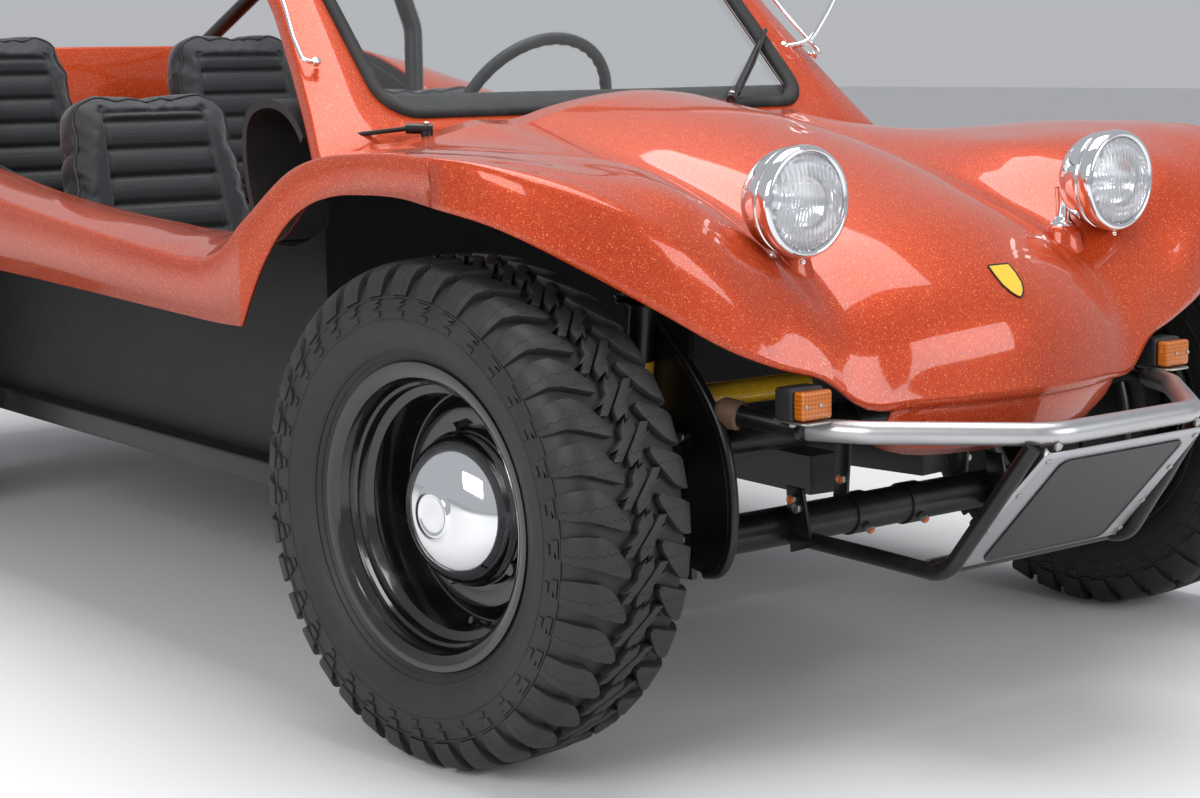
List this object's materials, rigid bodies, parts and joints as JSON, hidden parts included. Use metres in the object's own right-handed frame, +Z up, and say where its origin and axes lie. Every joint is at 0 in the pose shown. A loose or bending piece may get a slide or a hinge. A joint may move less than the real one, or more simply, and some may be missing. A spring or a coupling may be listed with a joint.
{
  "type": "dune buggy",
  "caption": "Open four-seat dune buggy with a moulded body, round lamps on the hood, roll bar, rear engine and chunky off-road tyres; steered front wheels.",
  "frame": {"origin": "centre of the overall bounding box, on the ground", "axes": "+X forward, +Y to the left, +Z up"},
  "size_m": [3.716, 1.744, 1.417],
  "materials": {
    "body_orange": "metal-flake orange moulded body, clear-coated",
    "tub_black": "textured black",
    "chassis_black": "satin black",
    "glass_clear": "clear laminated",
    "seal_rubber": "matt",
    "trim_plastic": "grained",
    "seat_cloth": "black perforated cloth and vinyl",
    "tyre_rubber": "matt black",
    "rim_gloss": "gloss black",
    "chrome": "polished",
    "bar_steel": "brushed",
    "lamp_glass": "fluted clear",
    "amber_lens": "clear amber",
    "red_lens": "clear red",
    "cast_grey": "rough",
    "alloy": "cast"
  },
  "bodies": {
    "chassis": {"bumper_brackets": "chassis_black", "dashboard": "trim_plastic", "engine_block": "alloy", "exhaust": "chrome", "firewall": "tub_black", "floor_pan": "tub_black", "front_arms": "chassis_black", "front_beam": "chassis_black", "front_body": "body_orange", "front_bumper": "bar_steel", "front_dampers": "chassis_black", "gearbox_axle": "cast_grey", "indicator_housings": "trim_plastic", "indicator_lenses": "amber_lens", "lamp_lenses": "lamp_glass", "lamp_shells": "chrome", "levers": "trim_plastic", "lower_hoop": "chassis_black", "mirror": "chrome", "pedals": "chassis_black", "plate_panel": "bar_steel", "rear_body": "body_orange", "rear_bumper": "bar_steel", "roll_bar": "chassis_black", "seat_bases": "chassis_black", "seat_front_left": "seat_cloth", "seat_front_right": "seat_cloth", "seat_rear_left": "seat_cloth", "seat_rear_right": "seat_cloth", "side_pod_left": "body_orange", "side_pod_right": "body_orange", "sill_rails": "chassis_black", "steering_column": "chassis_black", "tail_lamps": "red_lens", "tub_side_left": "tub_black", "tub_side_right": "tub_black", "windscreen_glass": "glass_clear", "windscreen_seal": "seal_rubber", "windscreen_surround": "body_orange", "wipers": "chassis_black"},
    "wheel_front_left": {"drum_front_left": "cast_grey", "hub_cap_front_left": "chrome", "rim_front_left": "rim_gloss", "tyre_front_left": "tyre_rubber"},
    "wheel_rear_left": {"drum_rear_left": "cast_grey", "hub_cap_rear_left": "chrome", "rim_rear_left": "rim_gloss", "tyre_rear_left": "tyre_rubber"},
    "knuckle_left": {"knuckle_left": "chassis_black"},
    "wheel_front_right": {"drum_front_right": "cast_grey", "hub_cap_front_right": "chrome", "rim_front_right": "rim_gloss", "tyre_front_right": "tyre_rubber"},
    "wheel_rear_right": {"drum_rear_right": "cast_grey", "hub_cap_rear_right": "chrome", "rim_rear_right": "rim_gloss", "tyre_rear_right": "tyre_rubber"},
    "knuckle_right": {"knuckle_right": "chassis_black"},
    "steering_wheel": {"steering_wheel": "trim_plastic"}
  },
  "joints": [
    {"name": "steer_right", "type": "hinge", "parent": "chassis", "child": "knuckle_right", "pos_m": [1.242, -0.56, 0.3611], "axis": [0, 0, 1], "range_deg": [-34, 22]},
    {"name": "steer_left", "type": "hinge", "parent": "chassis", "child": "knuckle_left", "pos_m": [1.242, 0.56, 0.3611], "axis": [0, 0, 1], "range_deg": [-34, 22]},
    {"name": "steering_turn", "type": "hinge", "parent": "chassis", "child": "steering_wheel", "pos_m": [-0.047, 0.35, 0.862], "axis": [-0.866, 0, 0.5], "range_deg": [-476, 308]},
    {"name": "spin_front_left", "type": "hinge", "parent": "knuckle_left", "child": "wheel_front_left", "pos_m": [1.2255, 0.7171, 0.3611], "axis": [-0.1045, 0.9945, 0], "continuous": true},
    {"name": "spin_rear_left", "type": "hinge", "parent": "chassis", "child": "wheel_rear_left", "pos_m": [-1.158, 0.75, 0.3611], "axis": [0, 1, 0], "continuous": true},
    {"name": "spin_front_right", "type": "hinge", "parent": "knuckle_right", "child": "wheel_front_right", "pos_m": [1.2585, -0.7171, 0.3611], "axis": [-0.1045, 0.9945, 0], "continuous": true},
    {"name": "spin_rear_right", "type": "hinge", "parent": "chassis", "child": "wheel_rear_right", "pos_m": [-1.158, -0.75, 0.3611], "axis": [0, 1, 0], "continuous": true}
  ],
  "couplings": [
    {"joint": "steer_left", "follows": "steer_right", "ratio": 1},
    {"joint": "steering_turn", "follows": "steer_right", "ratio": 14}
  ]
}
